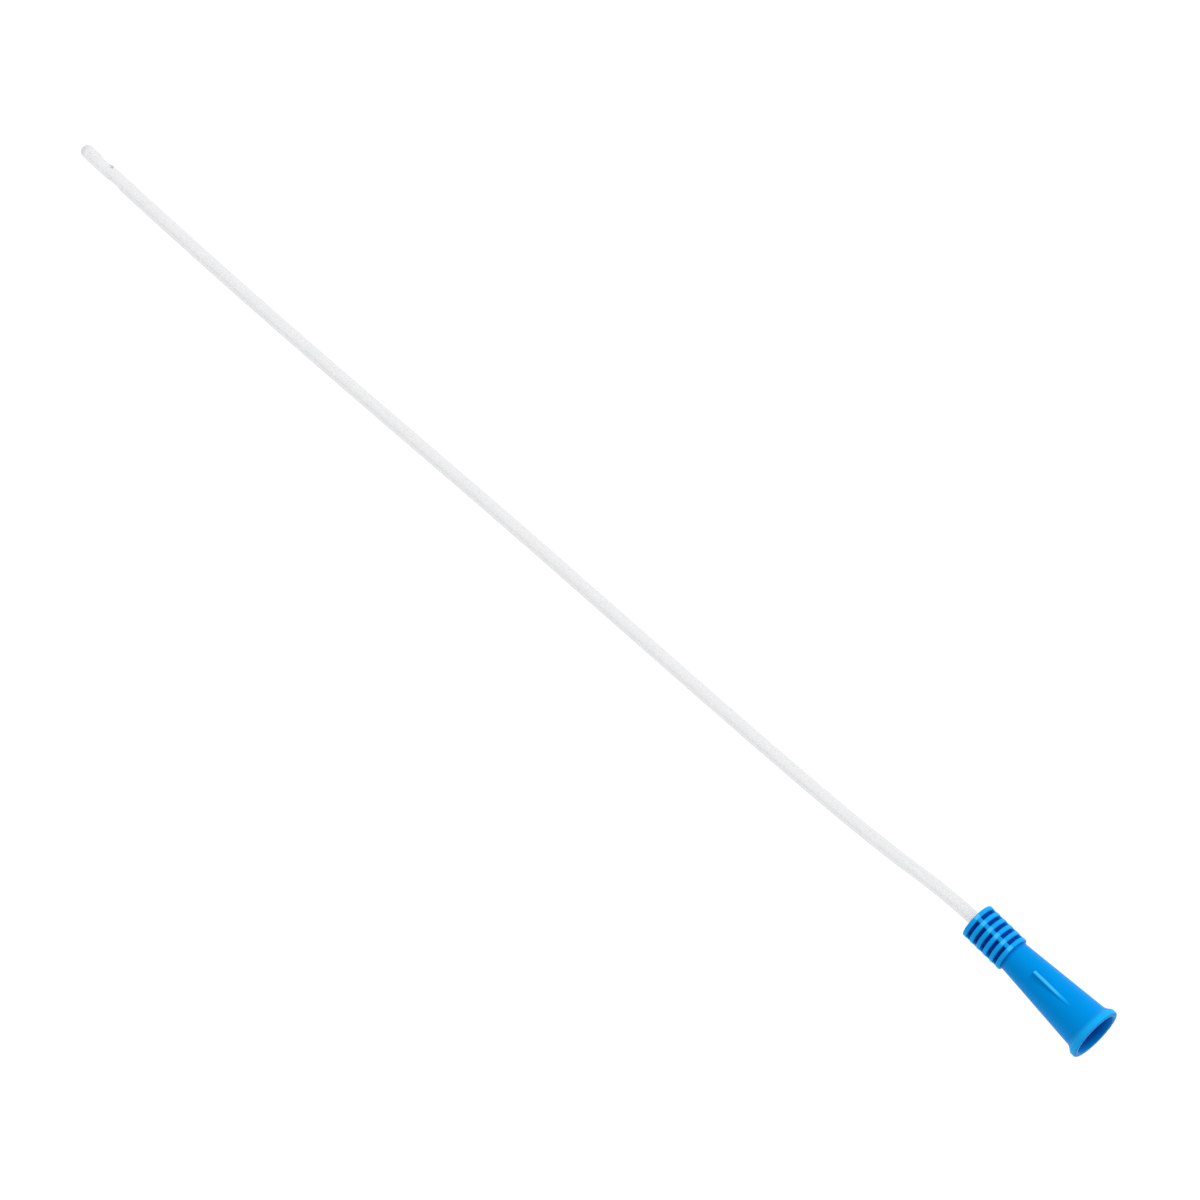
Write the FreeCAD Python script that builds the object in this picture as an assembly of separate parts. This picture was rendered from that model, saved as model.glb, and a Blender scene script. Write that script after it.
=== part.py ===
import FreeCAD, Part
import math
import os

from FreeCAD import Placement, Rotation, Vector

# A straight urinary catheter: a clear soft PVC shaft tube with a closed round tip and two staggered
# side eyes, bonded into a one-piece blue funnel connector with a ribbed grip collar.
# It lies on a table, at z = 0. The connector rests on its first ring and its lip, and the tube comes
# down from the collar to the table and runs along it. The origin is under the middle of the connector
# and +X runs towards its mouth. All sizes are in millimetres and all angles in degrees.

# Grip collar, measured along the connector's axis from the collar face
ring_count = 6
ring_pitch = 1.9
ring_width = 1.05
ring_radius = 4.15
ring_round = 0.3
rib_count = 4
rib_width = 0.95
rib_radius = 3.95
rib_round = 0.25
core_radius = 3.05

# Funnel
connector_length = 34.9
neck_radius = 3.56
neck_length = 0.85
cone_slope = 0.086
rim_radius = 6.3
flare_angle = 35.0
flare_round = 1.8
lip_thickness = 1.2
lip_round = 0.42
lip_land = 0.65

# Fins on the cone, one on top and one on the underside, in the plane where the mould parts
fin_count = 2
fin_start = 17.0
fin_nose = 0.5
fin_radius = 4.88
fin_width = 1.0
fin_round = 0.45
mould_roll = 4.0

# Inside of the connector
seat_depth = 7.0
seat_chamfer = 0.3
stop_length = 1.2
socket_floor_radius = 1.9
socket_floor_slant = 0.7
throat_radius = 4.0
throat_setback = 3.1
throat_round = 1.5

# Shaft tube
tube_radius = 1.45
lumen_radius = 0.95
bond_gap = 0.01
tip_wall = 1.6
eye_length = 4.0
eye_width = 1.6
eye_roll = -10.0
eyes_from_tip = [5.8, 10.5]

# The tube's centreline: a straight lead out of the collar, then points chosen by hand along the table,
# each as distance back from the collar face, place across it and lift over the lying height
lead_out = 6.0
route_over_table = [
    (24.0, -2.55, 1.5),
    (46.0, -4.33, 0.5),
    (82.0, -6.59, 0.0),
    (130.0, -9.39, 0.0),
    (180.0, -13.14, 0.0),
    (222.0, -15.66, 0.0),
    (251.1, -16.74, 0.0),
]
bend_share = 0.45

# How far a rib or fin reaches into the wall that carries it
root_depth = 0.4
touching = 1e-6

along = Vector(1, 0, 0)
across = Vector(0, 1, 0)
upward = Vector(0, 0, 1)
axis_start = Vector(0, 0, 0)

collar_length = (ring_count - 1) * ring_pitch + ring_width
cone_start = collar_length + neck_length
tip_length = tip_wall + 2 * lumen_radius


def cone_radius(x):
    return neck_radius + cone_slope * (x - cone_start)


def rounded_outline(corners):
    """Closed wire in the XZ plane through (x, z, rounding) corners, with a tangent arc at each rounding."""
    points = [Vector(x, 0, z) for x, z, _ in corners]
    arcs, starts, ends = [], [], []
    for i, (_, _, rounding) in enumerate(corners):
        here = points[i]
        back = (points[i - 1] - here).normalize()
        onward = (points[(i + 1) % len(points)] - here).normalize()
        half_angle = back.getAngle(onward) / 2
        reach = rounding / math.tan(half_angle)
        starts.append(here + back * reach)
        ends.append(here + onward * reach)
        inward = (back + onward).normalize()
        middle = here + inward * (rounding / math.sin(half_angle) - rounding)
        arcs.append(Part.Arc(starts[i], middle, ends[i]).toShape() if rounding else None)
    edges = []
    for i, arc in enumerate(arcs):
        if arc:
            edges.append(arc)
        next_start = starts[(i + 1) % len(starts)]
        if ends[i].distanceToPoint(next_start) > touching:
            edges.append(Part.LineSegment(ends[i], next_start).toShape())
    return Part.Wire(edges)


def collar_corners():
    """Outer corners of the rings and the gaps between them, from the collar face to the neck."""
    corners = []
    for ring in range(ring_count):
        start = ring * ring_pitch
        corners.append((start, ring_radius, ring_round))
        corners.append((start + ring_width, ring_radius, ring_round))
        if ring < ring_count - 1:
            corners.append((start + ring_width, core_radius, 0))
            corners.append((start + ring_pitch, core_radius, 0))
    return corners


def funnel_corners():
    """Outer corners from the neck along the cone and round the flared lip."""
    lean = math.radians(flare_angle)
    lip_top = connector_length - lip_land - lip_round * (1 + math.tan(lean / 2))
    foot = lip_top - (rim_radius - cone_radius(lip_top)) / (math.tan(lean) - cone_slope)
    return [
        (collar_length, neck_radius, 0),
        (cone_start, neck_radius, 0),
        (foot, cone_radius(foot), flare_round),
        (lip_top, rim_radius, lip_round),
        (connector_length, rim_radius, lip_round),
        (connector_length, rim_radius - lip_thickness, lip_round),
    ]


def socket_corners():
    """Inner corners from the throat of the mouth down to the tube's seat."""
    seat_radius = tube_radius + bond_gap
    socket_floor = seat_depth + stop_length
    return [
        (connector_length - throat_setback, throat_radius, throat_round),
        (socket_floor + socket_floor_slant, socket_floor_radius, 0),
        (socket_floor, lumen_radius, 0),
        (seat_depth, lumen_radius, 0),
        (seat_depth, seat_radius, 0),
        (seat_chamfer, seat_radius, 0),
        (0, seat_radius + seat_chamfer, 0),
    ]


def side_plate(corners, width, rounding, top):
    """Plate of that width about the XZ plane, with its edges rounded where both ends reach the top."""
    plate = Part.Face(rounded_outline(corners)).extrude(across * width)
    plate.translate(across * (-width / 2))
    crown = [
        edge for edge in plate.Edges
        if all(abs(vertex.Z - top) < touching for vertex in edge.Vertexes)
        and abs(edge.Vertexes[0].Y - edge.Vertexes[-1].Y) < touching
    ]
    return plate.makeFillet(rounding, crown)


def grip_ribs():
    """Lengthwise ribs that divide the gaps between the rings into windows."""
    inset = ring_width / 2
    corners = [
        (inset, core_radius - root_depth, 0),
        (inset, rib_radius, 0),
        (collar_length - inset, rib_radius, 0),
        (collar_length - inset, core_radius - root_depth, 0),
    ]
    ribs = []
    for index in range(rib_count):
        rib = side_plate(corners, rib_width, rib_round, rib_radius)
        rib.rotate(axis_start, along, mould_roll + index * 360 / rib_count)
        ribs.append(rib)
    return ribs


def cone_fins():
    """Thin fins of constant outer radius that run out into the widening cone."""
    run_out = cone_start + (fin_radius - neck_radius) / cone_slope
    corners = [
        (fin_start, cone_radius(fin_start) - root_depth, 0),
        (fin_start, cone_radius(fin_start), 0),
        (fin_start + fin_nose, fin_radius, 0),
        (run_out, fin_radius, 0),
        (run_out, fin_radius - root_depth, 0),
    ]
    fins = []
    for index in range(fin_count):
        fin = side_plate(corners, fin_width, fin_round, fin_radius)
        fin.rotate(axis_start, along, mould_roll + index * 360 / fin_count)
        fins.append(fin)
    return fins


def resting_place():
    """Placement of the connector on the table, on the roundings of its first ring and its lip."""
    ring_x = ring_round
    ring_z = ring_radius - ring_round
    lip_x = connector_length - lip_land - lip_round
    lip_z = rim_radius - lip_round
    span = math.hypot(lip_x - ring_x, lip_z - ring_z)
    tilt = math.atan2(lip_z - ring_z, lip_x - ring_x) + math.asin((lip_round - ring_round) / span)
    height = ring_round + ring_z * math.cos(tilt) - ring_x * math.sin(tilt)
    back_end = ring_x * math.cos(tilt) - ring_z * math.sin(tilt) - ring_round
    end_x = connector_length - lip_round
    front_end = end_x * math.cos(tilt) + lip_z * math.sin(tilt) + lip_round
    collar_face = Vector(-(back_end + front_end) / 2, 0, height)
    return Placement(collar_face, Rotation(across * -1, math.degrees(tilt)))


def funnel_connector():
    outline = rounded_outline(collar_corners() + funnel_corners() + socket_corners())
    moulding = Part.Face(outline).revolve(axis_start, along, 360)
    moulding = moulding.fuse(grip_ribs() + cone_fins()).removeSplitter()
    moulding = moulding.Solids[0] if moulding.ShapeType == "Compound" else moulding
    moulding.Placement = resting_place()
    return moulding


def tube_route(place):
    """Corner points of the centreline, from the stop in the connector to the end of the tip."""
    face = place.Base
    seat_axis = place.Rotation.multVec(along)
    points = [face + seat_axis * seat_depth, face - seat_axis * lead_out]
    for back, side, lift in route_over_table:
        points.append(Vector(face.x - back, side, tube_radius + lift))
    return points


def centreline(points, end_setback):
    """Straight runs joined by tangent arcs, stopping that far short of the last point."""
    last = points[-1] + (points[-2] - points[-1]).normalize() * end_setback
    here = points[0]
    edges, radii = [], []
    for before, corner, after in zip(points, points[1:], points[2:]):
        back = (before - corner).normalize()
        onward = (after - corner).normalize()
        half_turn = (math.pi - back.getAngle(onward)) / 2
        shorter = min(before.distanceToPoint(corner), after.distanceToPoint(corner))
        reach = bend_share * shorter
        radius = reach / math.tan(half_turn)
        arc_start = corner + back * reach
        arc_end = corner + onward * reach
        inward = (back + onward).normalize()
        middle = corner + inward * (radius / math.cos(half_turn) - radius)
        edges.append(Part.LineSegment(here, arc_start).toShape())
        edges.append(Part.Arc(arc_start, middle, arc_end).toShape())
        radii.append(radius)
        here = arc_end
    edges.append(Part.LineSegment(here, last).toShape())
    return Part.Wire(edges), radii


def swept_round(path, radius, direction):
    """Round bar of that radius along the path."""
    start = path.Vertexes[0].Point
    section = Part.Wire(Part.makeCircle(radius, start, direction))
    return path.makePipeShell([section], True, True)


def closed_tip():
    """Round closed end of the tube, with its point at zero and the open wall towards +X."""
    corners = [
        (0, 0, 0),
        (0, tube_radius, tube_radius),
        (tip_length, tube_radius, 0),
        (tip_length, lumen_radius, 0),
        (tip_wall, lumen_radius, lumen_radius),
        (tip_wall, 0, 0),
    ]
    return Part.Face(rounded_outline(corners)).revolve(axis_start, along, 360)


def tip_eyes():
    """Oval holes through one wall each, on opposite sides of the axis that the tip is on."""
    oval = Part.Wire(Part.Ellipse(axis_start, eye_length / 2, eye_width / 2).toShape())
    eyes = []
    for index, distance in enumerate(eyes_from_tip):
        eye = Part.Face(oval).extrude(upward * tube_radius * 2)
        eye.translate(along * distance)
        eye.rotate(axis_start, along, 180 * index - 90 - eye_roll)
        eyes.append(eye)
    return eyes


def shaft_tube(place):
    points = tube_route(place)
    outward = place.Rotation.multVec(along) * -1
    path, radii = centreline(points, tip_length)
    wall = swept_round(path, tube_radius, outward).cut(swept_round(path, lumen_radius, outward))
    section = math.pi * (tube_radius ** 2 - lumen_radius ** 2)
    print("tube length", round(path.Length + tip_length, 2))
    print("bend radii", [round(radius, 1) for radius in radii])
    print("swept volume", round(wall.Volume, 1), "section by length", round(section * path.Length, 1))
    backward = (points[-2] - points[-1]).normalize()
    at_tip = Placement(points[-1], Rotation(backward, Vector(), upward, "XZY"))
    tip = closed_tip()
    tip.Placement = at_tip
    eyes = tip_eyes()
    for eye in eyes:
        eye.Placement = at_tip.multiply(eye.Placement)
    tube = wall.fuse(tip).removeSplitter().cut(eyes)
    return tube.Solids[0] if tube.ShapeType == "Compound" else tube


os.makedirs("parts", exist_ok=True)
connector_place = resting_place()
nodes = {
    "funnel_connector": funnel_connector(),
    "shaft_tube": shaft_tube(connector_place),
}
for name, shape in nodes.items():
    box = shape.optimalBoundingBox(False, False)
    print(name, "solids", len(shape.Solids), "valid", shape.isValid(), "volume", round(shape.Volume, 1))
    print("  x", round(box.XMin, 2), round(box.XMax, 2), "y", round(box.YMin, 2), round(box.YMax, 2),
          "z", round(box.ZMin, 3), round(box.ZMax, 2))
    shape.exportStep("parts/" + name + ".step")
print("collar face", connector_place.Base, "tilt", round(math.degrees(connector_place.Rotation.Angle), 3))
for point in tube_route(connector_place):
    print("route", round(point.x, 2), round(point.y, 2), round(point.z, 2))
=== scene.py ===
import cmath
import math

import bmesh
import bpy
from mathutils import Matrix, Vector


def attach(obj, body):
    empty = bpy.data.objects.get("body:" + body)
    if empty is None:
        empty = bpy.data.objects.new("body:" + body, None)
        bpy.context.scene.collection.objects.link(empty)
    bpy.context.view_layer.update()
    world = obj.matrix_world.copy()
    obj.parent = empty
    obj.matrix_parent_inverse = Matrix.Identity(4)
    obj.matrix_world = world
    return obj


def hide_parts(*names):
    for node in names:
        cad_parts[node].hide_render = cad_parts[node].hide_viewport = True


# A straight catheter lying on a pale floor: a blue moulded funnel and a clear soft tube.
# Everything is in metres, +X runs along the funnel towards its mouth and the tube leaves towards -X.

mm = 0.001
touching = 1e-6

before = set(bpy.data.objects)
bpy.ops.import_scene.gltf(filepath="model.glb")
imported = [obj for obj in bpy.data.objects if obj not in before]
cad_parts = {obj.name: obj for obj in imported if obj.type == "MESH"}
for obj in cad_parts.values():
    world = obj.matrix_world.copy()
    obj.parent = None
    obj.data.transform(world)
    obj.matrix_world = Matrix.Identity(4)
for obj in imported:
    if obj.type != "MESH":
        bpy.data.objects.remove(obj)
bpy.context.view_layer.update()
print("frame loaded:", sorted(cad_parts))


# Node maths

class Graph:
    # one node tree, with one method for any node that isn't plain maths on values
    def __init__(self, tree):
        self.tree = tree

    def add(self, kind, settings=None, sockets=None):
        made = self.tree.nodes.new(kind)
        for name, value in (settings or {}).items():
            if name == "stops":
                self.setStops(made.color_ramp, value)
            else:
                setattr(made, name, value)
        for name, value in (sockets or {}).items():
            self.feed(self.find(made.inputs, name), value)
        return made

    def node(self, kind, settings=None, sockets=None, output=0):
        made = self.add(kind, settings, sockets)
        return Wire(self, self.find(made.outputs, output))

    def find(self, sockets, name):
        if isinstance(name, int):
            return sockets[name]
        return next(socket for socket in sockets if socket.name == name and socket.enabled)

    def feed(self, socket, value):
        if isinstance(value, Wire):
            self.tree.links.new(value.socket, socket)
        else:
            socket.default_value = value

    def setStops(self, ramp, stops):
        while len(ramp.elements) < len(stops):
            ramp.elements.new(1.0)
        for element, (place, colour) in zip(ramp.elements, stops):
            element.position = place
            element.color = colour


class Wire:
    # an output socket that takes part in Python expressions
    def __init__(self, graph, socket):
        self.graph = graph
        self.socket = socket

    def maths(self, operation, *values):
        numbered = dict(enumerate(values))
        return self.graph.node("ShaderNodeMath", {"operation": operation}, numbered)

    def __add__(self, other):
        return self.maths("ADD", self, other)

    def __radd__(self, other):
        return self.maths("ADD", other, self)

    def __sub__(self, other):
        return self.maths("SUBTRACT", self, other)

    def __rsub__(self, other):
        return self.maths("SUBTRACT", other, self)

    def __mul__(self, other):
        return self.maths("MULTIPLY", self, other)

    def __rmul__(self, other):
        return self.maths("MULTIPLY", other, self)

    def __truediv__(self, other):
        return self.maths("DIVIDE", self, other)

    def __rtruediv__(self, other):
        return self.maths("DIVIDE", other, self)

    def __mod__(self, other):
        return self.maths("FLOORED_MODULO", self, other)

    def __lt__(self, other):
        return self.maths("LESS_THAN", self, other)

    def __gt__(self, other):
        return self.maths("GREATER_THAN", self, other)

    def __abs__(self):
        return self.maths("ABSOLUTE", self)

    def smaller(self, other):
        return self.maths("MINIMUM", self, other)

    def larger(self, other):
        return self.maths("MAXIMUM", self, other)

    def share(self):
        # kept between 0 and 1
        return self.larger(0.0).smaller(1.0)

    def sine(self):
        return self.maths("SINE", self)

    def cosine(self):
        return self.maths("COSINE", self)

    def root(self):
        return self.maths("SQRT", self.larger(0.0))

    def nearest(self):
        return self.maths("ROUND", self)

    def sign(self):
        return self.maths("SIGN", self)

    def where(self, test, other):
        # this value where the test is 1, and the other where it is 0
        return test * self + (1.0 - test) * other


# Materials

def plainShader(name):
    material = bpy.data.materials.new(name)
    material.use_nodes = True
    material.node_tree.nodes.clear()
    return material, Graph(material.node_tree)


def finishShader(material, graph, sockets):
    surface = graph.node("ShaderNodeBsdfPrincipled", {}, sockets)
    graph.add("ShaderNodeOutputMaterial", {}, {"Surface": surface})
    return material


def mixColours(graph, share, first, second):
    settings = {"data_type": "RGBA", "clamp_factor": True}
    return graph.node("ShaderNodeMix", settings, {0: share, "A": first, "B": second}, "Result")


def noise(graph, place, scale, detail):
    return graph.node("ShaderNodeTexNoise", {}, {"Vector": place, "Scale": scale, "Detail": detail}, 0)


bluePlastic = {
    "paintedShadingTones": [  # colours from painted shade on the floor of the collar's windows, through the plastic's own blue at 0.5, to painted highlights on the edges that stand proud
        (0.0, (0.0, 0.010, 0.20, 1.0)),
        (0.1, (0.0, 0.044, 0.36, 1.0)),
        (0.5, (0.0, 0.262, 0.72, 1.0)),
        (0.75, (0.008, 0.390, 0.87, 1.0)),
        (1.0, (0.06, 0.510, 0.97, 1.0)),
    ],
    "cloudScale": 140.0,
    "cloudDetail": 3.0,
    "cloudShare": 0.06,
    "cloudRoughness": 0.10,
    "grainScale": 5200.0,
    "grainDetail": 2.0,
    "grainRoughness": 0.06,
    "bumpStrength": 0.12,
    "bumpDepth": 0.02 * mm,
    "roughness": 0.36,
    "specular": 0.04,
    "tint": (0.2, 0.6, 1.0, 1.0),
}


def makeBluePlastic():
    material, graph = plainShader("bluePlastic")
    place = graph.node("ShaderNodeTexCoord", output="Object")
    # the painted shading that the funnel's node tree stores: painted shade in recesses, painted highlights
    # on proud edges
    tone = graph.node("ShaderNodeAttribute", {"attribute_name": "tone"}, output="Fac")
    clouds = noise(graph, place, bluePlastic["cloudScale"], bluePlastic["cloudDetail"])
    grain = noise(graph, place, bluePlastic["grainScale"], bluePlastic["grainDetail"])
    mottled = tone + (clouds - 0.5) * bluePlastic["cloudShare"]
    colour = graph.node("ShaderNodeValToRGB", {"stops": bluePlastic["paintedShadingTones"]}, {"Fac": mottled}, "Color")
    roughness = (bluePlastic["roughness"] + (clouds - 0.5) * bluePlastic["cloudRoughness"]
                 + (grain - 0.5) * bluePlastic["grainRoughness"])
    bump = graph.node("ShaderNodeBump", {}, {
        "Height": grain, "Strength": bluePlastic["bumpStrength"], "Distance": bluePlastic["bumpDepth"]})
    return finishShader(material, graph, {
        "Base Color": colour,
        "Roughness": roughness,
        "Normal": bump,
        "Specular IOR Level": bluePlastic["specular"],
        "Specular Tint": bluePlastic["tint"],
    })


clearPvc = {
    "colour": (0.80, 0.81, 0.82, 1.0),
    "cloudy": (0.72, 0.73, 0.74, 1.0),
    "cut": (0.42, 0.45, 0.49, 1.0),
    "slantShadeGrey": (0.54, 0.55, 0.56, 1.0),
    "streaksRound": 36.0,
    "streaksAlong": 9.0,
    "streakDetail": 3.0,
    "streakShare": 0.6,
    "streakRoughness": 0.12,
    "bumpStrength": 0.05,
    "bumpDepth": 0.01 * mm,
    "roughness": 0.24,
    "specular": 0.9,
    "slantBlend": 0.5,
    "slantedCover": 0.12,
}


def makeClearPvc():
    material, graph = plainShader("clearPvc")
    onTube = graph.node("ShaderNodeUVMap", {"uv_map": "alongTube"})
    stretched = graph.node("ShaderNodeVectorMath", {"operation": "MULTIPLY"},
                           {0: onTube, 1: (clearPvc["streaksAlong"], clearPvc["streaksRound"], 1.0)})
    streaks = noise(graph, stretched, 1.0, clearPvc["streakDetail"])
    edge = graph.node("ShaderNodeAttribute", {"attribute_name": "edge"}, output="Fac")
    wall = mixColours(graph, streaks * clearPvc["streakShare"], clearPvc["colour"], clearPvc["cloudy"])
    # a glassy wall hides more where it is seen along its slant, and is painted a darker grey there as
    # painted shade in place of refraction
    slant = graph.node("ShaderNodeLayerWeight", {}, {"Blend": clearPvc["slantBlend"]}, "Facing")
    seen = mixColours(graph, slant, wall, clearPvc["slantShadeGrey"])
    # painted shade: a darker grey towards the tip's point and at the rear end of the first eye
    colour = mixColours(graph, edge, seen, clearPvc["cut"])
    roughness = clearPvc["roughness"] + (streaks - 0.5) * clearPvc["streakRoughness"]
    bump = graph.node("ShaderNodeBump", {}, {
        "Height": streaks, "Strength": clearPvc["bumpStrength"], "Distance": clearPvc["bumpDepth"]})
    cover = graph.node("ShaderNodeAttribute", {"attribute_name": "cover"}, output="Fac")
    return finishShader(material, graph, {
        "Base Color": colour,
        "Roughness": roughness,
        "Normal": bump,
        "Specular IOR Level": clearPvc["specular"],
        "Alpha": cover + slant * clearPvc["slantedCover"],
    })


# Funnel connector: a closed profile drawn as rows, which a node tree turns, raising the ribs and fins

connector = {
    "collarFace": (-17.4793 * mm, 0.0, 4.1229 * mm),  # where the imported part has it
    "tilt": math.radians(3.6693),
    "mouldRoll": math.radians(4.0),
    "ringCount": 6,
    "ringPitch": 1.90 * mm,
    "ringWidth": 1.05 * mm,
    "ringRadius": 4.15 * mm,
    "ringRound": 0.3 * mm,
    "coreRadius": 3.05 * mm,
    "footRound": 0.14 * mm,
    "ribCount": 4,
    "ribWidth": 0.95 * mm,
    "ribRadius": 3.95 * mm,
    "ribRound": 0.25 * mm,
    "length": 34.9 * mm,
    "neckRadius": 3.56 * mm,
    "neckLength": 0.85 * mm,
    "coneSlope": 0.086,
    "rimRadius": 6.3 * mm,
    "flareAngle": math.radians(35.0),
    "flareRound": 1.8 * mm,
    "lipThickness": 1.2 * mm,
    "lipRound": 0.42 * mm,
    "lipLand": 0.65 * mm,
    "finEvery": 2,  # a fin stands in line with every second rib
    "finStart": 17.0 * mm,
    "finNose": 0.5 * mm,
    "finRadius": 4.88 * mm,
    "finWidth": 1.0 * mm,
    "finRound": 0.45 * mm,
    "seatRadius": 1.46 * mm,
    "seatDepth": 7.0 * mm,
    "seatChamfer": 0.3 * mm,
    "stopLength": 1.2 * mm,
    "passageRadius": 0.95 * mm,
    "socketFloorRadius": 1.9 * mm,
    "socketFloorSlant": 0.7 * mm,
    "throatRadius": 4.0 * mm,
    "throatSetback": 3.1 * mm,
    "throatRound": 1.5 * mm,
    "arcStep": math.radians(15.0),
    "coneRowGap": 0.6 * mm,
    "noseRowGap": 0.1 * mm,
    "columnsPerRib": 64,
    # the next four are lengths over which the painted shade at the neck, on the fin walls and deep in the
    # mouth, and the painted highlights on fin crowns and the lip, fade in
    "neckFade": 0.7 * mm,
    "ridgeFade": 0.4 * mm,
    "crownFade": 0.22 * mm,
    "mouthFade": 2.2 * mm,
    "shareNearRibs": 0.66,
    "nearRibs": math.radians(11.0),
}

# painted shading on the blue from place to place, from 0 to 1 along the ramp of blues: painted shade below
# 0.5, the plastic's own blue at 0.5, painted highlights above
paintedShadingTones = {
    "windowShade": 0.1,
    "windowToRing": 0.58,
    "crossingHighlight": 0.65,
    "crossingHeight": 0.95,
    "neck": 0.2,
    "neckToCone": 0.3,
    "finWallShade": -0.2,
    "crownHighlight": 0.7,
    "lip": 0.25,
    # the level inside at the mouth's edge; deeper in it falls to painted shade
    "mouth": 0.4,
}

connector["collarLength"] = ((connector["ringCount"] - 1) * connector["ringPitch"]
                             + connector["ringWidth"])
connector["coneStart"] = connector["collarLength"] + connector["neckLength"]


def coneRadius(x):
    return connector["neckRadius"] + connector["coneSlope"] * (x - connector["coneStart"])


def roundedRows(corners):
    # points of a closed outline, each corner an (along, out, rounding), with None for a plain row
    points = []
    for index, (x, radius, rounding) in enumerate(corners):
        here = complex(x, radius)
        if rounding is None:
            points.append(here)
            continue
        ahead = complex(*corners[(index + 1) % len(corners)][:2]) - here
        behind = complex(*corners[index - 1][:2]) - here
        ahead /= abs(ahead)
        behind /= abs(behind)
        halfAngle = abs(cmath.phase(ahead / behind)) / 2
        reach = rounding / math.tan(halfAngle)
        start = here + behind * reach
        centre = here + (ahead + behind) / abs(ahead + behind) * rounding / math.sin(halfAngle)
        sweep = cmath.phase((here + ahead * reach - centre) / (start - centre)) if rounding else 0.0
        steps = math.ceil(abs(sweep) / connector["arcStep"])
        arm = start - centre
        for step in range(steps + 1):
            points.append(centre + arm * cmath.rect(1, sweep * step / max(steps, 1)))
    return points


def collarCorners():
    c = connector
    corners = []
    for ring in range(c["ringCount"]):
        start = ring * c["ringPitch"]
        end = start + c["ringWidth"]
        corners += [(start, c["ringRadius"], c["ringRound"]), (end, c["ringRadius"], c["ringRound"])]
        if ring < c["ringCount"] - 1:
            corners += [(end, c["coreRadius"], c["footRound"]),
                        (start + c["ringPitch"], c["coreRadius"], c["footRound"])]
    return corners + [(c["collarLength"], c["neckRadius"], c["footRound"])]


def coneCorners():
    c = connector
    lean = c["flareAngle"]
    lipTop = c["length"] - c["lipLand"] - c["lipRound"] * (1 + math.tan(lean / 2))
    foot = lipTop - (c["rimRadius"] - coneRadius(lipTop)) / (math.tan(lean) - c["coneSlope"])
    rows = []
    x = c["coneStart"] + c["coneRowGap"]
    while x < foot - c["flareRound"]:
        rows.append((x, coneRadius(x), None))
        nearNose = c["finStart"] - 2 * c["coneRowGap"] < x < c["finStart"] + c["finNose"]
        x += c["noseRowGap"] if nearNose else c["coneRowGap"]
    return [(c["coneStart"], coneRadius(c["coneStart"]), 0)] + rows + [
        (foot, coneRadius(foot), c["flareRound"]),
        (lipTop, c["rimRadius"], c["lipRound"]),
        (c["length"], c["rimRadius"], c["lipRound"]),
    ]


def socketCorners():
    c = connector
    floor = c["seatDepth"] + c["stopLength"]
    return [
        (c["length"], c["rimRadius"] - c["lipThickness"], c["lipRound"]),
        (c["length"] - c["throatSetback"], c["throatRadius"], c["throatRound"]),
        (floor + c["socketFloorSlant"], c["socketFloorRadius"], c["footRound"]),
        (floor, c["passageRadius"], 0),
        (c["seatDepth"], c["passageRadius"], 0),
        (c["seatDepth"], c["seatRadius"], 0),
        (c["seatChamfer"], c["seatRadius"], 0),
        (0, c["seatRadius"] + c["seatChamfer"], 0),
    ]


def profileObject():
    # a row is a vertex at (along, out, 1 on the outer skin)
    rows = roundedRows(collarCorners() + coneCorners() + socketCorners())
    lastOuter = max(range(len(rows)), key=lambda index: rows[index].real + rows[index].imag)
    mesh = bpy.data.meshes.new("funnelRows")
    corners = [(row.real, row.imag, float(index <= lastOuter)) for index, row in enumerate(rows)]
    edges = [(index, (index + 1) % len(rows)) for index in range(len(rows))]
    mesh.from_pydata(corners, edges, [])
    shape = bpy.data.objects.new("funnelConnector", mesh)
    bpy.context.scene.collection.objects.link(shape)
    return shape


noRidge = 0.1 * mm  # a top this near the axis stands for no ridge
leastSine = 1e-4
leastFoot = 1e-7


def ridge(base, sine, cosine, top, width, rounding, foot):
    # radius at an angle from a flat-topped ridge's middle, with rounded edges and feet on a round base
    half = width / 2.0
    edgeSide = half - rounding
    edgeOut = top - rounding
    edgeReach = sine * edgeSide + cosine * edgeOut
    edge = edgeReach + (edgeReach * edgeReach + rounding * rounding
                        - edgeSide * edgeSide - edgeOut * edgeOut).root()
    wall = half / sine.larger(leastSine)
    crown = top / cosine
    footSize = (edgeOut - base).smaller(foot).larger(leastFoot)
    footSide = half + footSize
    footOut = ((base + footSize) * (base + footSize) - footSide * footSide).root()
    footReach = sine * footSide + cosine * footOut
    fillet = footReach - (footReach * footReach + footSize * footSize
                          - footSide * footSide - footOut * footOut).root()
    slope = sine / cosine
    height = fillet.where(slope < footSide / footOut, base)
    height = wall.where(slope < half / footOut, height)
    height = edge.where(slope < half / edgeOut, height)
    height = crown.where(slope < edgeSide / top, height)
    return height.larger(base).where(top > base, base)


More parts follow.
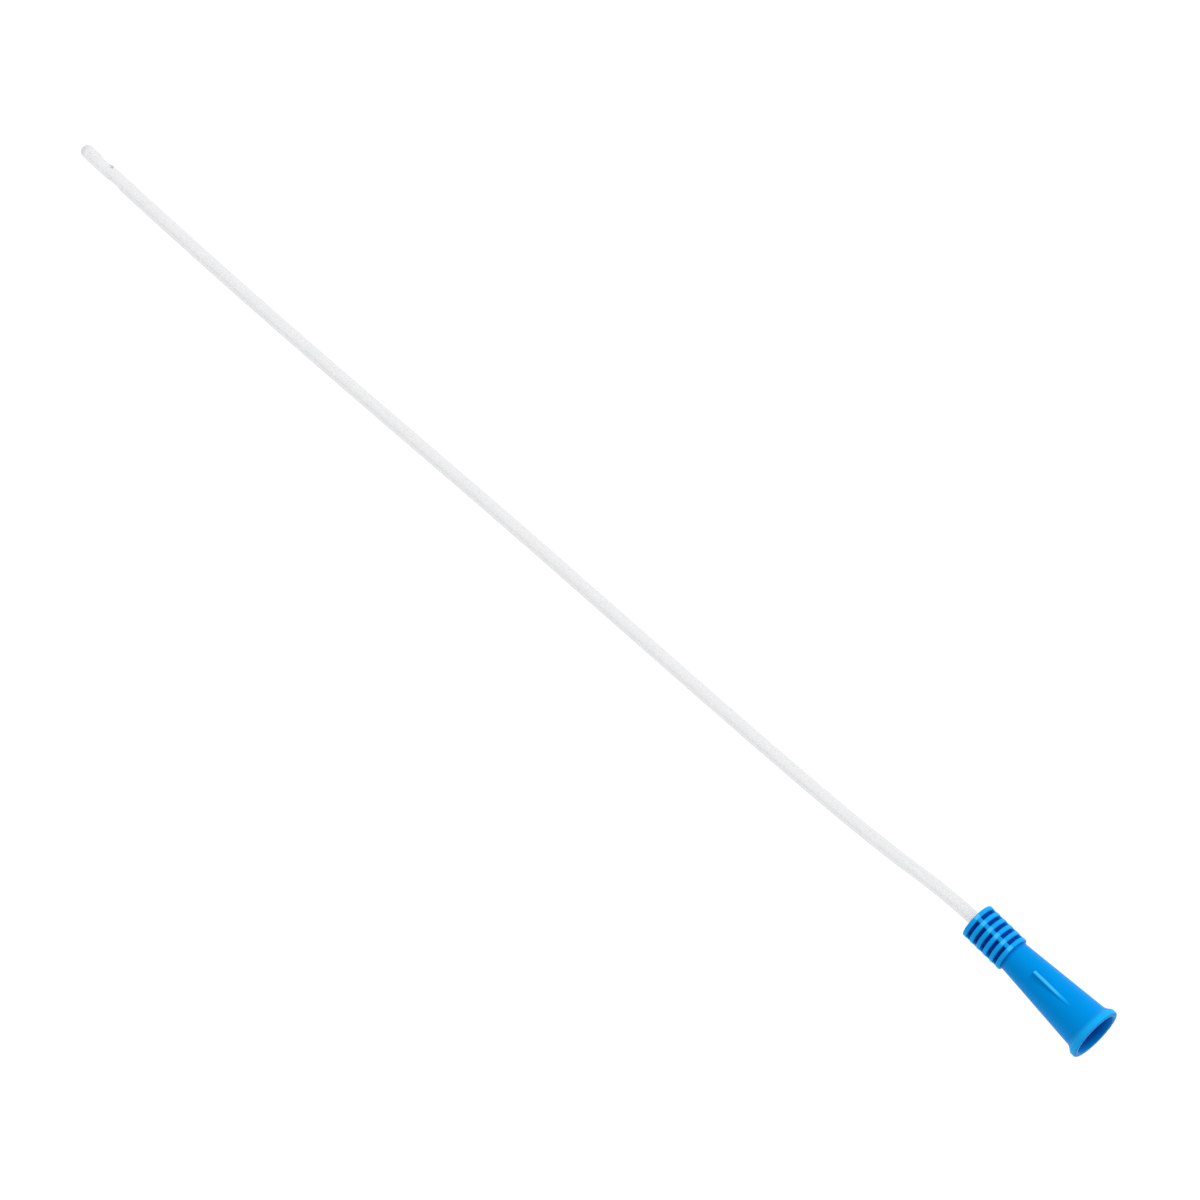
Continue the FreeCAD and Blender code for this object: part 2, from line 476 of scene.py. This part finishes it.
def funnelTree():
    tree = bpy.data.node_groups.new("ribbedFunnel", "GeometryNodeTree")
    sizes = ["Rib Width", "Rib Radius", "Rib Round", "Rib From", "Rib To",
             "Fin Width", "Fin Radius", "Fin Round", "Fin Start", "Fin Nose",
             "Foot Round", "Core Radius", "Ring Radius", "Lip Radius", "Collar Length", "Length",
             "Neck Fade", "Ridge Fade", "Crown Fade", "Mouth Fade", "Share Near Ribs", "Near Ribs"]
    tree.interface.new_socket("Geometry", in_out="OUTPUT", socket_type="NodeSocketGeometry")
    tree.interface.new_socket("Profile", in_out="INPUT", socket_type="NodeSocketGeometry")
    for name in ("Rib Count", "Fin Every", "Columns Per Rib"):
        tree.interface.new_socket(name, in_out="INPUT", socket_type="NodeSocketInt")
    for name in sizes:
        tree.interface.new_socket(name, in_out="INPUT", socket_type="NodeSocketFloat")
    tree.interface.new_socket("Material", in_out="INPUT", socket_type="NodeSocketMaterial")

    graph = Graph(tree)
    entry = tree.nodes.new("NodeGroupInput")

    def given(name):
        return Wire(graph, entry.outputs[name])

    rows = graph.node("GeometryNodeAttributeDomainSize", {}, {"Geometry": given("Profile")},
                      "Point Count")
    columns = given("Rib Count") * given("Columns Per Rib")
    grid = graph.node("GeometryNodeMeshGrid", {}, {
        "Size X": 1.0, "Size Y": 1.0, "Vertices X": rows + 1.0, "Vertices Y": columns + 1.0}, "Mesh")
    place = graph.node("GeometryNodeInputPosition")
    flatX = graph.node("ShaderNodeSeparateXYZ", {}, {0: place}, "X") + 0.5
    flatY = graph.node("ShaderNodeSeparateXYZ", {}, {0: place}, "Y") + 0.5

    # the profile's row under each grid row
    row = (flatX * rows).nearest() % rows
    rowPoint = graph.node("GeometryNodeSampleIndex", {"data_type": "FLOAT_VECTOR", "domain": "POINT"}, {
        "Geometry": given("Profile"), "Value": place, "Index": row}, "Value")
    along = graph.node("ShaderNodeSeparateXYZ", {}, {0: rowPoint}, "X")
    base = graph.node("ShaderNodeSeparateXYZ", {}, {0: rowPoint}, "Y")
    outer = graph.node("ShaderNodeSeparateXYZ", {}, {0: rowPoint}, "Z")

    # columns stand closer together near each rib
    turns = flatY * given("Rib Count")
    sector = turns.nearest()
    offset = turns - sector
    aside = abs(offset)
    nearShare = given("Share Near Ribs") / 2.0
    halfSector = math.pi / given("Rib Count")
    close = aside / nearShare * given("Near Ribs")
    farShare = (aside - nearShare) / (0.5 - nearShare)
    far = given("Near Ribs") + farShare * (halfSector - given("Near Ribs"))
    away = close.where(aside < nearShare, far)
    angle = sector * 2.0 * halfSector + offset.sign() * away
    sine = away.sine()
    cosine = away.cosine()

    # ribs over the collar, then fins on the cone
    onRibs = (along > given("Rib From")) * (along < given("Rib To")) * outer
    ribbed = ridge(base, sine, cosine, given("Rib Radius") * onRibs + noRidge, given("Rib Width"),
                   given("Rib Round"), given("Foot Round"))
    climb = ((along - given("Fin Start")) / given("Fin Nose")).share()
    ease = (climb * math.pi / 2.0).sine()
    onFins = ((sector % given("Fin Every")) < 0.5) * (along > given("Fin Start")) * outer
    finTop = (base + (given("Fin Radius") - base) * ease) * onFins + noRidge
    finned = ridge(ribbed, sine, cosine, finTop, given("Fin Width"), given("Fin Round"),
                   given("Foot Round"))
    radius = finned.where(outer, base)

    spot = graph.node("ShaderNodeCombineXYZ", {}, {
        "X": along, "Y": -1.0 * radius * angle.sine(), "Z": radius * angle.cosine()})

    # painted shading on the blue: painted shade in the windows, at the neck step, on the fin walls and deep
    # inside the mouth; the plastic's own blue on the cone; painted highlights where ribs cross ring tops,
    # on fin crowns and on the lip's crest
    onCollar = along < given("Collar Length")
    height = (radius - given("Core Radius")) / (given("Ring Radius") - given("Core Radius"))
    # a painted highlight where a rib crosses a ring's top
    crossingHighlight = (1.0 - away / given("Near Ribs")).larger(0.0) * (height > paintedShadingTones["crossingHeight"])
    collarPaintedShading = paintedShadingTones["windowShade"] + height * paintedShadingTones["windowToRing"] + crossingHighlight * paintedShadingTones["crossingHighlight"]
    # painted shade at the step from the collar down to the neck
    pastNeck = ((along - given("Collar Length")) / given("Neck Fade")).share()
    # on the fin, painted shade on its walls and a painted highlight on its crown
    onFin = ((finned - base) / given("Ridge Fade")).share()
    crown = (1.0 - (finTop - finned) / given("Crown Fade")).share()
    # a painted highlight on the lip's crest, and painted shade deep inside the mouth
    onLip = (1.0 - (given("Lip Radius") - base) / given("Ridge Fade")).larger(0.0)
    inMouth = (1.0 - (given("Length") - along) / given("Mouth Fade")).larger(0.0)
    finPaintedShading = onFin * (crown * paintedShadingTones["crownHighlight"] + paintedShadingTones["finWallShade"])
    conePaintedShading = pastNeck * paintedShadingTones["neckToCone"] + paintedShadingTones["neck"] + finPaintedShading + onLip * paintedShadingTones["lip"]
    tone = collarPaintedShading.where(onCollar, conePaintedShading).where(outer, inMouth * paintedShadingTones["mouth"])
    marked = graph.node("GeometryNodeStoreNamedAttribute", {"data_type": "FLOAT", "domain": "POINT"}, {
        "Geometry": grid, "Name": "tone", "Value": tone})
    turned = graph.node("GeometryNodeSetPosition", {}, {"Geometry": marked, "Position": spot})
    merged = graph.node("GeometryNodeMergeByDistance", {}, {"Geometry": turned, "Distance": touching})
    real = graph.node("GeometryNodeRealizeInstances", {}, {"Geometry": merged})
    painted = graph.node("GeometryNodeSetMaterial", {}, {
        "Geometry": real, "Material": given("Material")})
    leave = tree.nodes.new("NodeGroupOutput")
    tree.links.new(painted.socket, leave.inputs[0])
    return tree


def applyNodes(shape, tree, values):
    # sets the named inputs, then keeps the tree's result as a plain mesh
    modifier = shape.modifiers.new(tree.name, "NODES")
    modifier.node_group = tree
    for item in tree.interface.items_tree:
        if item.in_out == "INPUT" and item.name in values:
            modifier[item.identifier] = values[item.name]
    seen = shape.evaluated_get(bpy.context.evaluated_depsgraph_get())
    made = bpy.data.meshes.new_from_object(seen)
    shape.modifiers.remove(modifier)
    shape.data = made


crease = math.radians(50.0)


def cleanMesh(mesh):
    # outward normals, smooth faces, and a hard edge only where the surface really turns
    shape = bmesh.new()
    shape.from_mesh(mesh)
    bmesh.ops.recalc_face_normals(shape, faces=shape.faces)
    for face in shape.faces:
        face.smooth = True
    for edge in shape.edges:
        edge.smooth = len(edge.link_faces) == 2 and edge.calc_face_angle() < crease
    gaps = sum(len(edge.link_faces) != 2 for edge in shape.edges)
    shape.to_mesh(mesh)
    shape.free()
    print(mesh.name, "faces", len(mesh.polygons), "edges that aren't closed", gaps)


def makeConnector(material):
    c = connector
    shape = profileObject()
    applyNodes(shape, funnelTree(), {
        "Rib Count": c["ribCount"], "Fin Every": c["finEvery"], "Columns Per Rib": c["columnsPerRib"],
        "Rib Width": c["ribWidth"], "Rib Radius": c["ribRadius"], "Rib Round": c["ribRound"],
        "Rib From": c["ringWidth"] / 2, "Rib To": c["collarLength"] - c["ringWidth"] / 2,
        "Fin Width": c["finWidth"], "Fin Radius": c["finRadius"], "Fin Round": c["finRound"],
        "Fin Start": c["finStart"], "Fin Nose": c["finNose"], "Foot Round": c["footRound"],
        "Core Radius": c["coreRadius"], "Ring Radius": c["ringRadius"], "Lip Radius": c["rimRadius"],
        "Collar Length": c["collarLength"] + touching, "Length": c["length"],
        "Neck Fade": c["neckFade"], "Ridge Fade": c["ridgeFade"], "Crown Fade": c["crownFade"],
        "Mouth Fade": c["mouthFade"],
        "Share Near Ribs": c["shareNearRibs"], "Near Ribs": c["nearRibs"],
        "Material": material,
    })
    lean = Matrix.Rotation(-c["tilt"], 4, "Y") @ Matrix.Rotation(c["mouldRoll"], 4, "X")
    shape.data.transform(Matrix.Translation(c["collarFace"]) @ lean)
    cleanMesh(shape.data)
    return shape


# Shaft tube: rings along a smooth spline, closed at the tip and punched through by two oval eyes

tube = {
    "exit": connector["collarFace"],
    "length": 251.7 * mm,
    "radius": 1.45 * mm,
    "lumenRadius": 0.95 * mm,
    "tipWall": 1.6 * mm,
    "eyeLength": 4.0 * mm,
    "eyeWidth": 1.6 * mm,
    "eyeRoll": math.radians(-10.0),
    "eyesFromTip": [5.8 * mm, 10.5 * mm],
    "outerRim": 0.12 * mm,
    "lumenRim": 0.08 * mm,
    "rimSteps": 3,
    "columns": 96,
    "outerHole": (26, 16),  # rows and columns of the grid that an eye takes up
    "lumenHole": (12, 30),
    "holeStart": 0.99,  # shares of the hole's half size between which the grid is drawn to the oval
    "holeFade": 1.24,
    "routeSteps": 64,
    "poleRows": 10,
    "eyeRowGap": 0.3 * mm,
    "settleLength": 2.0 * mm,
    "settleRows": 5,
    "bodyRowGap": 2.5 * mm,
    "tipShade": 1.5 * mm,
    "outerCover": 0.31,  # how much each skin hides, and how much more its thick tip and the painted shade at an eye's cut end do
    "lumenCover": 0.08,
    "edgeCover": 0.8,
    "tipShadeStrength": 0.25,
    "eyeShadeStart": 0.2,  # share of an eye's length from its middle
    "eyeShadeRise": 4.0,
    "eyeShadeStrengths": [1.0, 0.0],
}

# the tube's route as in the part's source, from the stop inside the funnel to the tip
route = [
    (-0.01049, 0.0, 0.004572),
    (-0.023467, 0.0, 0.003739),
    (-0.041479, -0.00255, 0.00295),
    (-0.063479, -0.00433, 0.00195),
    (-0.099479, -0.00659, 0.00145),
    (-0.147479, -0.00939, 0.00145),
    (-0.197479, -0.01314, 0.00145),
    (-0.239479, -0.01566, 0.00145),
    (-0.268579, -0.01674, 0.00145),
]


def smoothLine(points):
    curve = bpy.data.curves.new("shaftRoute", "CURVE")
    curve.dimensions = "3D"
    curve.resolution_u = tube["routeSteps"]
    spline = curve.splines.new("NURBS")
    spline.points.add(len(points) - 1)
    for point, place in zip(spline.points, points):
        point.co = (*place, 1.0)
    spline.order_u = 3
    spline.use_endpoint_u = True
    holder = bpy.data.objects.new("shaftRoute", curve)
    bpy.context.scene.collection.objects.link(holder)
    line = bpy.data.meshes.new_from_object(holder)
    places = [vertex.co.copy() for vertex in line.vertices]
    bpy.data.objects.remove(holder)
    bpy.data.meshes.remove(line)
    return places


class Centreline:
    # finds the place and the directions at a distance back from the tip
    def __init__(self, places):
        self.places = places[::-1]
        self.travelled = [0.0]
        for here, there in zip(self.places, self.places[1:]):
            self.travelled.append(self.travelled[-1] + (there - here).length)
        self.length = self.travelled[-1]
        ends = [self.places[0]] + self.places + [self.places[-1]]
        self.headings = [(after - before).normalized() for before, after in zip(ends, ends[2:])]

    def at(self, distance):
        low = 0
        high = len(self.travelled) - 2
        while low < high:
            middle = (low + high + 1) // 2
            low, high = (middle, high) if self.travelled[middle] <= distance else (low, middle - 1)
        share = (distance - self.travelled[low]) / (self.travelled[low + 1] - self.travelled[low])
        place = self.places[low].lerp(self.places[low + 1], share)
        back = self.headings[low].lerp(self.headings[low + 1], share).normalized()
        up = (Vector((0, 0, 1)) - back * back.z).normalized()
        return place, up, up.cross(back)

    def point(self, distance, angle, radius):
        place, up, side = self.at(distance)
        return place + (up * math.cos(angle) - side * math.sin(angle)) * radius


def evenly(first, last, count):
    return [first + (last - first) * step / count for step in range(1, count + 1)]


def eyeSpans():
    half = tube["eyeLength"] / 2
    return [(distance - half, distance + half) for distance in tube["eyesFromTip"]]


def rowDistances(start, holeRows, length):
    # distances from the tip, with a whole number of rows across each eye
    distances = [start]
    for first, last in eyeSpans():
        rows = math.ceil((first - distances[-1]) / tube["eyeRowGap"])
        distances += evenly(distances[-1], first, rows)
        distances += evenly(first, last, holeRows)
    settle = distances[-1] + tube["settleLength"]
    distances += evenly(distances[-1], settle, tube["settleRows"])
    return distances + evenly(settle, length, round((length - settle) / tube["bodyRowGap"]))


def wrapped(angle):
    return (angle + math.pi) % (2 * math.pi) - math.pi


def perimeterShare(x, y, hole):
    # where on a square's edge a point lies, as a share of the grid steps round it from its +x side's middle
    rows, columns = hole
    total = 2 * (rows + columns)
    if x >= abs(y):
        return (y * columns / 2 % total) / total
    if y >= abs(x):
        return (columns / 2 + (1 - x) / 2 * rows) / total
    if -x >= abs(y):
        return (columns / 2 + rows + (1 - y) / 2 * columns) / total
    return (columns * 1.5 + rows + (1 + x) / 2 * rows) / total


def eyeOutline(share, radius, grow):
    # the oval's edge on a wall of that radius, as distance and angle from its middle
    turn = 2 * math.pi * share
    aside = (tube["eyeWidth"] / 2 + grow) * math.sin(turn)
    return (tube["eyeLength"] / 2 + grow) * math.cos(turn), math.asin(aside / radius)


def eyeAngle(index):
    return index * math.pi - math.pi / 2 - tube["eyeRoll"]


def drawnToEyes(distance, angle, radius, hole, grow):
    # slides a grid point so that the square hole at each eye becomes its oval
    halfLength = tube["eyeLength"] / 2
    halfAngle = hole[1] * math.pi / tube["columns"]
    for index, middle in enumerate(tube["eyesFromTip"]):
        x = (distance - middle) / halfLength
        y = wrapped(angle - eyeAngle(index)) / halfAngle
        reach = max(abs(x), abs(y))
        if tube["holeStart"] < reach < tube["holeFade"]:
            share = perimeterShare(x / reach, y / reach, hole)
            along, turn = eyeOutline(share, radius, grow)
            pull = min(1.0, (tube["holeFade"] - reach) / (tube["holeFade"] - 1))
            distance += (along * reach - x * halfLength) * pull
            angle += (turn * reach - y * halfAngle) * pull
    return distance, angle


def addVertex(shape, place, edge, cover):
    vertex = shape.verts.new(place)
    # edge is the strength of the painted shade, a darker grey, at the tip and an eye's rear end
    vertex[shape.verts.layers.float["edge"]] = edge
    vertex[shape.verts.layers.float["cover"]] = cover + edge * tube["edgeCover"]
    return vertex


def tipEdge(distance):
    # the closed end is thicker, so it hides a little more towards its point, and it is painted a darker
    # grey there as painted shade
    return max(0, 1 - distance / tube["tipShade"]) * tube["tipShadeStrength"]


def wallStations(radius, tipStart, holeRows, length):
    # the distance and radius of each ring of a skin, half round at the tip
    stations = []
    for step in range(1, tube["poleRows"]):
        slant = math.pi / 2 * step / tube["poleRows"]
        stations.append((tipStart + radius * (1 - math.cos(slant)), radius * math.sin(slant)))
    straight = rowDistances(tipStart + radius, holeRows, length)
    return stations + [(distance, radius) for distance in straight]


def inEye(row, column, firstRows, hole):
    count = tube["columns"]
    for index, first in enumerate(firstRows):
        aside = (column + 0.5 - index * count / 2 + count / 2) % count - count / 2
        if first <= row < first + hole[0] and abs(aside) < hole[1] / 2:
            return True
    return False


def holeEdge(rings, low, centre, hole):
    # the vertices round one eye, from the middle of the side that is farther from the tip
    rows, columns = hole
    side = columns // 2
    high = low + rows
    walk = [(high, centre + step) for step in range(side)]
    walk += [(high - step, centre + side) for step in range(rows)]
    walk += [(low, centre + side - step) for step in range(columns)]
    walk += [(low + step, centre - side) for step in range(rows)]
    walk += [(high, centre - side + step) for step in range(side)]
    return [rings[row][column % tube["columns"]] for row, column in walk]


def addWall(shape, line, radius, tipStart, hole, grow, cover):
    # one skin of the tube: a pole at the tip, rings, and a gap for each eye
    # it returns the last ring and the eyes' edges
    count = tube["columns"]
    uv = shape.loops.layers.uv["alongTube"]
    stations = wallStations(radius, tipStart, hole[0], line.length)
    pole = addVertex(shape, line.point(tipStart, 0, 0), tipEdge(tipStart), cover)
    rings = []
    for distance, out in stations:
        ring = []
        for column in range(count):
            angle = eyeAngle(0) + column * 2 * math.pi / count
            place = line.point(*drawnToEyes(distance, angle, radius, hole, grow), out)
            ring.append(addVertex(shape, place, tipEdge(distance), cover))
        rings.append(ring)

    def corner(row, column):
        return stations[row][0] / line.length, column / count

    def addFace(vertices, corners):
        face = shape.faces.new(vertices)
        for loop, place in zip(face.loops, corners):
            loop[uv].uv = place

    for column in range(count):
        after = (column + 1) % count
        addFace((pole, rings[0][column], rings[0][after]),
                ((0, column / count), corner(0, column), corner(0, column + 1)))
    firstRows = [next(row for row, station in enumerate(stations) if station[0] > first - touching)
                 for first, last in eyeSpans()]
    for row in range(len(rings) - 1):
        for column in range(count):
            if inEye(row, column, firstRows, hole):
                continue
            after = (column + 1) % count
            addFace((rings[row][column], rings[row + 1][column],
                     rings[row + 1][after], rings[row][after]),
                    (corner(row, column), corner(row + 1, column),
                     corner(row + 1, column + 1), corner(row, column + 1)))
    return rings[-1], [holeEdge(rings, first, index * count // 2, hole)
                       for index, first in enumerate(firstRows)]


def bridge(shape, first, second):
    for index in range(len(first)):
        after = (index + 1) % len(first)
        shape.faces.new((first[index], first[after], second[after], second[index]))


def addEyeRim(shape, line, index, outerEdge, lumenEdge):
    # the punched wall of one eye, rounded over into both skins
    steps = tube["rimSteps"]
    loops = [outerEdge]
    levels = []
    leans = [math.pi / 2 * step / steps for step in range(1, steps + 1)]
    rim = tube["outerRim"]
    for lean in leans:
        levels.append((tube["radius"] - rim * (1 - math.cos(lean)), rim * (1 - math.sin(lean))))
    rim = tube["lumenRim"]
    for lean in reversed(leans):
        levels.append((tube["lumenRadius"] + rim * (1 - math.cos(lean)), rim * (1 - math.sin(lean))))
    for radius, grow in levels:
        loop = []
        for step in range(len(outerEdge)):
            along, turn = eyeOutline(step / len(outerEdge), radius, grow)
            distance = tube["eyesFromTip"][index] + along
            place = line.point(distance, eyeAngle(index) + turn, radius)
            # painted shade on the rear end of the first eye's cut wall
            shade = (along / tube["eyeLength"] - tube["eyeShadeStart"]) * tube["eyeShadeRise"]
            edge = max(0, shade) * tube["eyeShadeStrengths"][index]
            loop.append(addVertex(shape, place, edge, tube["lumenCover"]))
        loops.append(loop)
    loops.append(lumenEdge)
    for first, second in zip(loops, loops[1:]):
        bridge(shape, first, second)


def makeTube(material):
    places = smoothLine(route)
    line = Centreline(places)
    shape = bmesh.new()
    shape.loops.layers.uv.new("alongTube")
    shape.verts.layers.float.new("edge")
    shape.verts.layers.float.new("cover")
    outerEnd, outerEyes = addWall(shape, line, tube["radius"], 0.0, tube["outerHole"], tube["outerRim"],
                                  tube["outerCover"])
    lumenEnd, lumenEyes = addWall(shape, line, tube["lumenRadius"], tube["tipWall"], tube["lumenHole"],
                                  tube["lumenRim"], tube["lumenCover"])
    bridge(shape, outerEnd, lumenEnd)
    for index in range(len(tube["eyesFromTip"])):
        addEyeRim(shape, line, index, outerEyes[index], lumenEyes[index])
    mesh = bpy.data.meshes.new("shaftTube")
    shape.to_mesh(mesh)
    shape.free()
    cleanMesh(mesh)
    mesh.materials.append(material)
    piece = bpy.data.objects.new("shaftTube", mesh)
    bpy.context.scene.collection.objects.link(piece)
    print("tube centreline", round(line.length / mm, 2), "mm")
    return piece, places


# Floor, light and camera

studio = {
    "floorSize": 60.0,
    "floorColour": (0.05, 0.05, 0.05, 1.0),
    "floorRoughness": 0.85,
    "mottleScale": 3.0,
    "mottleDetail": 2.0,
    "mottleRoughness": 0.1,
    "floorGlow": 1.0,
    "skyTowards": (0.0, 0.75, 0.66),
    "skyStops": [(0.0, (0.86, 0.86, 0.86, 1.0)), (1.0, (1.0, 1.0, 1.0, 1.0))],
    "skyStrength": 0.79,
    "keyPower": 1.5,
    "keySpread": math.radians(20.0),
}

view = {
    "target": (-0.12181, -0.00721, 0.0),
    "azimuth": math.radians(-44.075),
    "elevation": math.radians(74.0),
    "distance": 2.4,
    "lens": 345.42,
    "sensor": 36.0,
    "clipStart": 0.05,
    "clipEnd": 100.0,
}


def makeFloor():
    material, graph = plainShader("paleFloor")
    place = graph.node("ShaderNodeTexCoord", output="Object")
    mottle = noise(graph, place, studio["mottleScale"], studio["mottleDetail"])
    finishShader(material, graph, {
        "Base Color": studio["floorColour"],
        "Roughness": studio["floorRoughness"] + mottle * studio["mottleRoughness"],
        "Specular IOR Level": 0.0,
        "Emission Color": (1.0, 1.0, 1.0, 1.0),
        "Emission Strength": studio["floorGlow"],
    })
    # so wide a glow is less grainy when only bounces find it
    material.cycles.emission_sampling = "NONE"
    half = studio["floorSize"] / 2
    mesh = bpy.data.meshes.new("floor")
    corners = [(-half, -half, 0), (half, -half, 0), (half, half, 0), (-half, half, 0)]
    mesh.from_pydata(corners, [], [(0, 1, 2, 3)])
    mesh.materials.append(material)
    floor = bpy.data.objects.new("floor", mesh)
    bpy.context.scene.collection.objects.link(floor)


def makeLight():
    world = bpy.data.worlds.new("paleRoom")
    world.use_nodes = True
    world.node_tree.nodes.clear()
    graph = Graph(world.node_tree)
    towards = graph.node("ShaderNodeTexCoord", output="Generated")
    facing = graph.node("ShaderNodeVectorMath", {"operation": "DOT_PRODUCT"},
                        {0: towards, 1: studio["skyTowards"]}, "Value")
    # 0 straight away from the light and 1 towards it
    turned = facing * 0.5 + 0.5
    shade = graph.node("ShaderNodeValToRGB", {"stops": studio["skyStops"]}, {"Fac": turned}, "Color")
    glow = graph.node("ShaderNodeBackground", {}, {"Color": shade, "Strength": studio["skyStrength"]})
    graph.add("ShaderNodeOutputWorld", {}, {"Surface": glow})
    # the sky is nearly even all round, so bounces find it with less grain too
    world.cycles.sampling_method = "NONE"
    bpy.context.scene.world = world
    lamp = bpy.data.lights.new("keyLight", "SUN")
    lamp.energy = studio["keyPower"]
    lamp.angle = studio["keySpread"]
    key = bpy.data.objects.new("keyLight", lamp)
    key.rotation_euler = Vector(studio["skyTowards"]).to_track_quat("Z", "Y").to_euler()
    bpy.context.scene.collection.objects.link(key)


def makeCamera():
    lens = bpy.data.cameras.new("camera")
    lens.lens = view["lens"]
    lens.sensor_width = view["sensor"]
    lens.clip_start = view["clipStart"]
    lens.clip_end = view["clipEnd"]
    camera = bpy.data.objects.new("camera", lens)
    level = math.cos(view["elevation"])
    away = Vector((level * math.cos(view["azimuth"]), level * math.sin(view["azimuth"]),
                   math.sin(view["elevation"])))
    camera.location = Vector(view["target"]) + away * view["distance"]
    camera.rotation_euler = away.to_track_quat("Z", "Y").to_euler()
    bpy.context.scene.collection.objects.link(camera)
    bpy.context.scene.camera = camera


makeCamera()
makeFloor()
makeLight()
bpy.context.scene.view_settings.view_transform = "Standard"
print("stage and camera made")

funnel = makeConnector(makeBluePlastic())
print("funnel made")
shaft, centreline = makeTube(makeClearPvc())
print("tube made")

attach(funnel, "root")
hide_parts("funnel_connector")
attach(shaft, "root")
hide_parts("shaft_tube")
